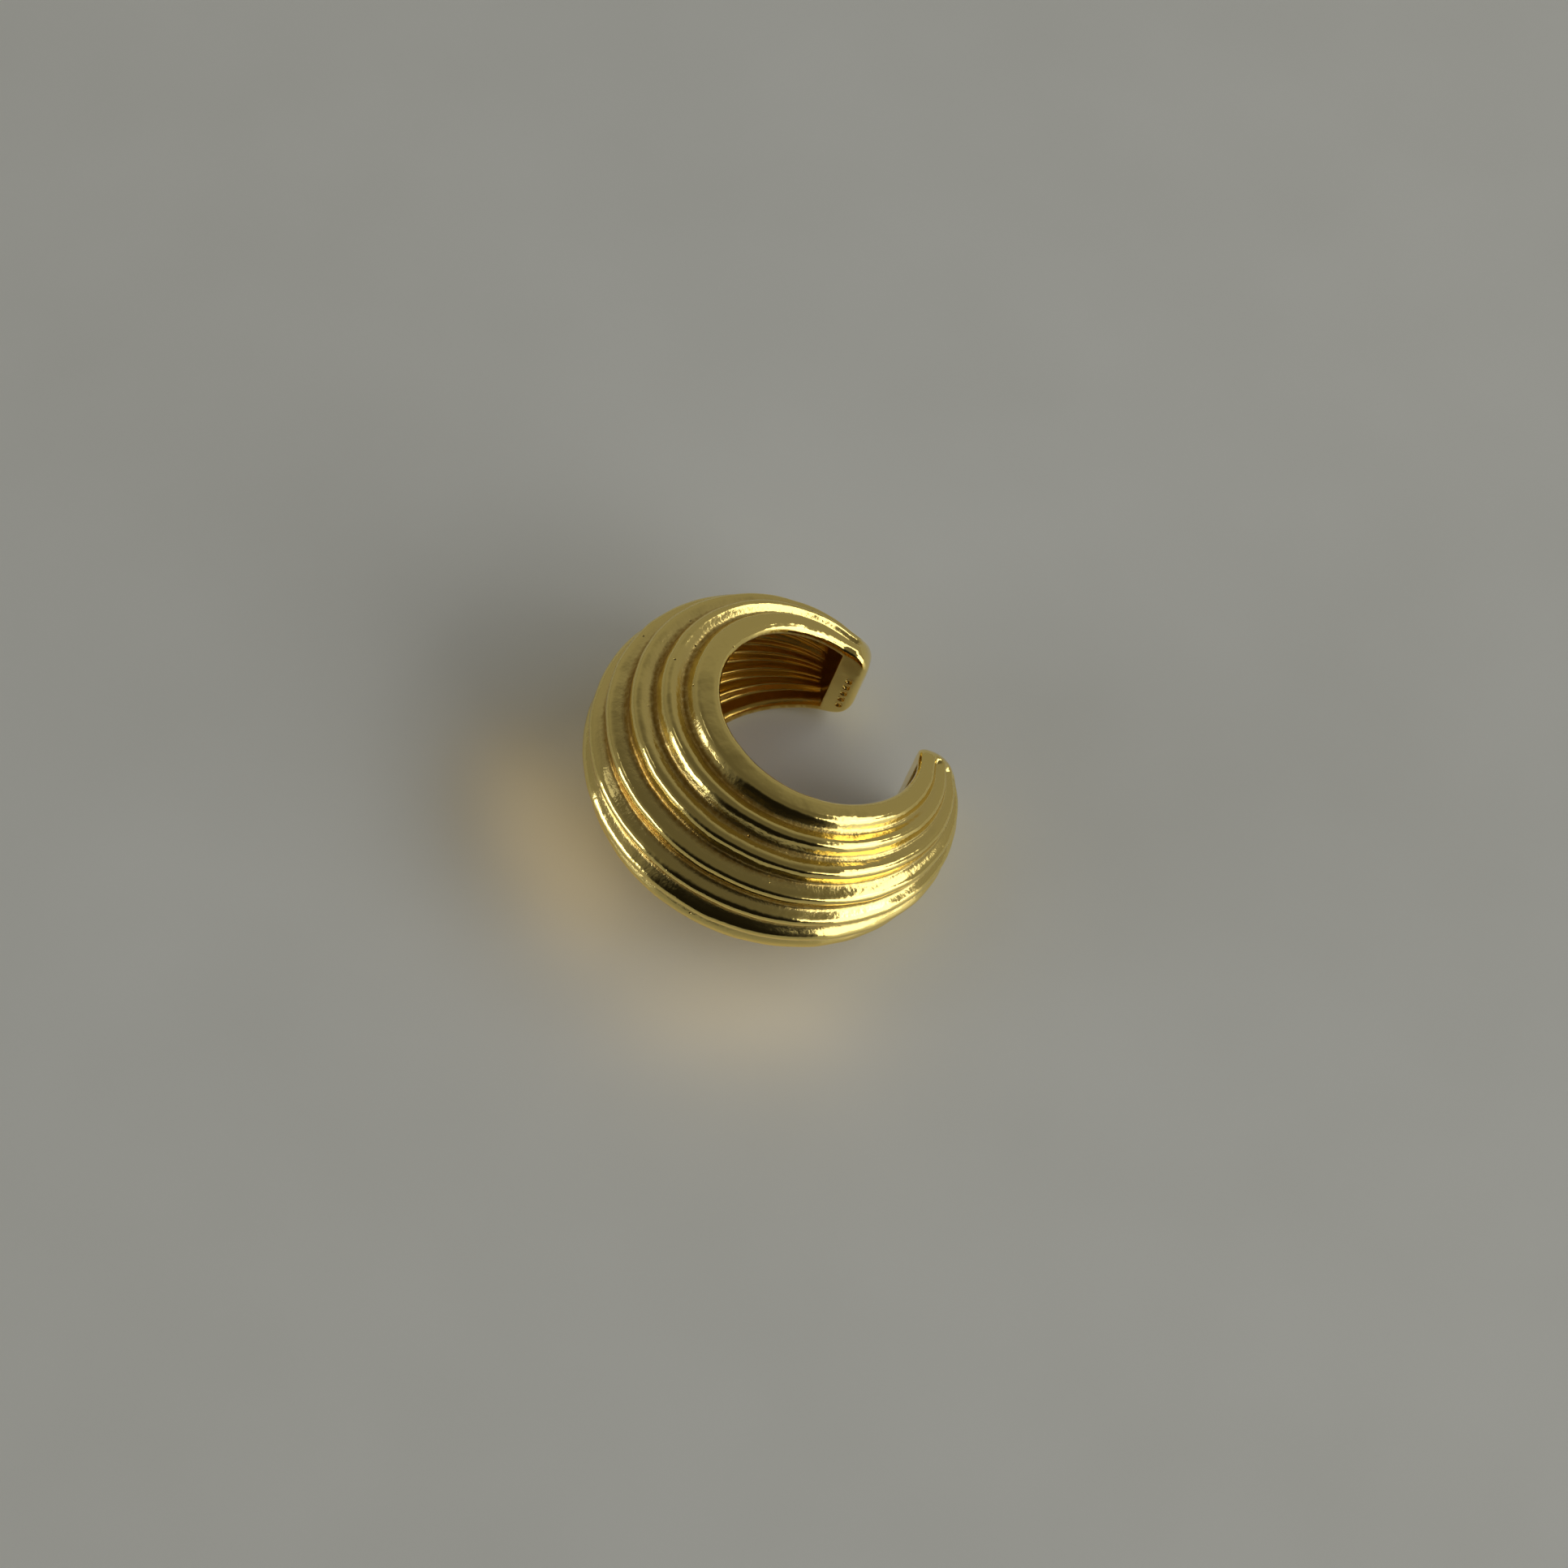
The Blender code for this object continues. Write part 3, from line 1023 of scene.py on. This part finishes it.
    def _waver(self, mesh: bpy.types.Mesh) -> None:
        """Move the surface in and out a little along its normals, as hand polishing leaves it.

        Args:
            mesh: The welded mesh, which is changed.
        """
        places = np.empty(len(mesh.vertices) * 3, dtype=np.float32)
        normals = np.empty_like(places)
        mesh.vertices.foreach_get("co", places)
        mesh.vertices.foreach_get("normal", normals)
        places, normals = places.reshape(-1, 3), normals.reshape(-1, 3)
        height = self.waver_height * wave_noise(places, self.waver_sizes, self.waver_seed)
        moved = places + normals * height[:, None]
        mesh.vertices.foreach_set("co", moved.astype(np.float32).ravel())
        mesh.update()


@dataclass
class SheetFloor:
    """The flat sheet that the cuff lies on."""

    side: float = 1.2
    cuts: int = 24
    finish: SatinSheet = field(default_factory=SatinSheet)

    def build(self) -> bpy.types.Object:
        """Make the sheet as a flat grid at height nought.

        Returns:
            The sheet.
        """
        line = np.linspace(-self.side / 2, self.side / 2, self.cuts + 1)
        across, along = np.meshgrid(line, line)
        points = np.stack([across, along, np.zeros_like(across)], axis=2).reshape(-1, 3)
        number = np.arange(len(points)).reshape(across.shape)
        mesh = bpy.data.meshes.new("satin_sheet")
        mesh.from_pydata(points.tolist(), [], grid_faces(number).tolist())
        mesh.update()
        mesh.materials.append(self.finish.build())
        sheet = bpy.data.objects.new("satin_sheet", mesh)
        bpy.context.scene.collection.objects.link(sheet)
        return sheet


def add_light(
    name: str, shape: LightShape, size: tuple[float, float], brightness: float, colour: str
) -> bpy.types.Object:
    """Add one flat light at the origin, facing down.

    Args:
        name: The light's name.
        shape: Its shape.
        size: Its width and height.
        brightness: How bright it looks, where 1 is the picture's white.
        colour: Its colour as "#RRGGBB".

    Returns:
        The light's object.
    """
    lamp = bpy.data.lights.new(name, "AREA")
    lamp.shape = shape.name
    lamp.size, lamp.size_y = size
    # A flat light's power is pi times its brightness times its area.
    lamp.energy = math.pi * brightness * size[0] * size[1] * shape.value
    lamp.color = linear_colour(colour)[:3]
    light = bpy.data.objects.new(name, lamp)
    bpy.context.scene.collection.objects.link(light)
    return light


@dataclass(frozen=True)
class SoftBox:
    """One rectangular soft light, aimed at the cuff and as bright as it looks in the gold."""

    name: str
    azimuth: float
    elevation: float
    distance: float
    width: float
    height: float
    brightness: float
    colour: str = "#FFFFFF"

    def build(self) -> bpy.types.Object:
        """Make the light.

        Returns:
            The light's object.
        """
        size = (self.width, self.height)
        light = add_light(self.name, LightShape.RECTANGLE, size, self.brightness, self.colour)
        place, axes = looking_in(self.azimuth, self.elevation, 0.0)
        light.matrix_world = Matrix.Translation(place * self.distance) @ axes.to_4x4()
        return light


def looking_in(azimuth: float, elevation: float, roll: float) -> tuple[Vector, Matrix]:
    """Direction of a place round the cuff, and axes of something there that looks back.

    Args:
        azimuth: Degrees round, 0 at -Y and 90 at +X.
        elevation: Degrees above the floor.
        roll: Degrees that the thing is turned about its line of sight.

    Returns:
        The unit direction from the cuff, and the axes right, up and back as columns.
    """
    around, above, turned = (math.radians(angle) for angle in (azimuth, elevation, roll))
    back = Vector((
        math.sin(around) * math.cos(above), -math.cos(around) * math.cos(above), math.sin(above)
    ))
    level = Vector((math.cos(around), math.sin(around), 0.0))
    raised = back.cross(level)
    right = level * math.cos(turned) + raised * math.sin(turned)
    up = raised * math.cos(turned) - level * math.sin(turned)
    return back, Matrix((right, up, back)).transposed()


@dataclass(frozen=True)
class RoomTone:
    """One soft-edged round area of the room, lighter or darker than the rest."""

    azimuth: float
    elevation: float
    inner: float
    outer: float
    colour: str

    def add(self, tree: Tree, direction: Socket, under: Socket) -> Socket:
        """Lay this area over the room's colour, fading from its inner to its outer angle.

        Args:
            tree: The world's node tree.
            direction: The direction that the room is seen in.
            under: The colour of the room below this area.

        Returns:
            The room's colour with this area.
        """
        centre = looking_in(self.azimuth, self.elevation, 0.0)[0]
        settings = {"operation": "DOT_PRODUCT", 1: tuple(centre)}
        nearness = add_node(tree, NodeKind.VECTOR_MATHS, settings, {0: direction}).outputs["Value"]
        settings = {
            "interpolation_type": "SMOOTHSTEP",
            "From Min": math.cos(math.radians(self.outer)),
            "From Max": math.cos(math.radians(self.inner)),
        }
        share = add_node(tree, NodeKind.RANGE, settings, {"Value": nearness}).outputs[0]
        return add_layer(tree, under, self.colour, share)


@dataclass(frozen=True)
class GoldGlow:
    """Stands for warm light that the gold throws on the sheet, and is itself never seen."""

    name: str
    place: tuple[float, float, float]
    width: float
    length: float
    turn: float
    brightness: float
    colour: str = "#FFD88C"

    def build(self) -> bpy.types.Object:
        """Make the light, which faces straight down.

        Returns:
            The light's object.
        """
        size = (self.width, self.length)
        light = add_light(self.name, LightShape.ELLIPSE, size, self.brightness, self.colour)
        light.location = self.place
        light.rotation_euler = (0.0, 0.0, math.radians(self.turn))
        light.visible_camera = False
        light.visible_glossy = False
        return light


@dataclass
class Studio:
    """The room's own dim light, its soft lights, and the gold's glow on the sheet."""

    room_colour: str = "#7C7A72"
    tones: tuple[RoomTone, ...] = (
        RoomTone(110.0, 15.0, 50.0, 110.0, "#8A8880"),
        RoomTone(0.0, 90.0, 24.0, 62.0, "#5C5951"),
        RoomTone(315.0, 14.0, 30.0, 56.0, "#151310"),
    )
    lights: tuple[SoftBox, ...] = (
        SoftBox("wide_window", 28.0, 20.0, 0.70, 0.62, 0.46, 2.1),
        SoftBox("upper_window", 64.0, 41.0, 0.76, 0.66, 0.20, 2.1),
        SoftBox("low_window", 249.0, 6.0, 0.70, 0.46, 0.20, 4.6, "#F4F7FF"),
        SoftBox("thin_window", 235.0, 15.0, 0.71, 0.16, 0.10, 2.0, "#EEF2FF"),
        SoftBox("far_lamp", 211.0, 52.0, 0.75, 0.16, 0.14, 0.6, "#F4F7FF"),
    )
    glows: tuple[GoldGlow, ...] = (
        GoldGlow("left_glow", (-8.0 * MM, 2.6 * MM, 3.0 * MM), 2.6 * MM, 11.0 * MM, -6.0, 0.62),
        GoldGlow("front_glow", (-5.2 * MM, -7.4 * MM, 3.0 * MM), 2.4 * MM, 10.0 * MM, 56.0, 0.44),
    )

    def build(self) -> None:
        """Make the room, its lights and the glow."""
        world = bpy.data.worlds.new("studio_room")
        world.use_nodes = True
        tree = world.node_tree
        tree.nodes.clear()
        direction = add_node(tree, NodeKind.COORDINATES).outputs["Generated"]
        colour = add_colour(tree, self.room_colour)
        for tone in self.tones:
            colour = tone.add(tree, direction, colour)
        background = add_node(tree, NodeKind.BACKGROUND, links={"Color": colour})
        add_node(tree, NodeKind.WORLD_OUTPUT, links={"Surface": background.outputs[0]})
        bpy.context.scene.world = world
        for light in self.lights + self.glows:
            light.build()


@dataclass
class PhotoCamera:
    """The camera at the photograph's place, found by fitting the band's outline."""

    azimuth: float = -38.531
    elevation: float = 60.947
    roll: float = 8.923
    distance: float = 138.97 * MM
    aim: tuple[float, float, float] = (0.432 * MM, -0.952 * MM, 3.736 * MM)
    field_of_view: float = 25.0
    clip_start: float = 5.0 * MM
    clip_end: float = 10.0

    def build(self) -> bpy.types.Object:
        """Make the camera and give it to the scene.

        Returns:
            The camera's object.
        """
        lens = bpy.data.cameras.new("photo_camera")
        lens.sensor_fit = "HORIZONTAL"
        lens.angle = math.radians(self.field_of_view)
        lens.clip_start = self.clip_start
        lens.clip_end = self.clip_end
        camera = bpy.data.objects.new("photo_camera", lens)
        direction, axes = looking_in(self.azimuth, self.elevation, self.roll)
        place = Vector(self.aim) + direction * self.distance
        camera.matrix_world = Matrix.Translation(place) @ axes.to_4x4()
        bpy.context.scene.collection.objects.link(camera)
        bpy.context.scene.camera = camera
        return camera


def main() -> None:
    """Build the camera, the cuff, its floor and its lights, in that order."""
    logging.basicConfig(level=logging.INFO, format="%(name)s: %(message)s")
    camera = PhotoCamera().build()
    log.info("%s at %s", camera.name, tuple(camera.matrix_world.translation))
    cuff = RibbedCuff().build()
    log.info("%s with %d faces", cuff.name, len(cuff.data.polygons))
    sheet = SheetFloor().build()
    log.info("%s under it", sheet.name)
    studio = Studio()
    studio.build()
    bpy.context.scene.view_settings.view_transform = "Standard"
    log.info("%d soft lights and %d glows", len(studio.lights), len(studio.glows))


if __name__ == "__main__":
    main()
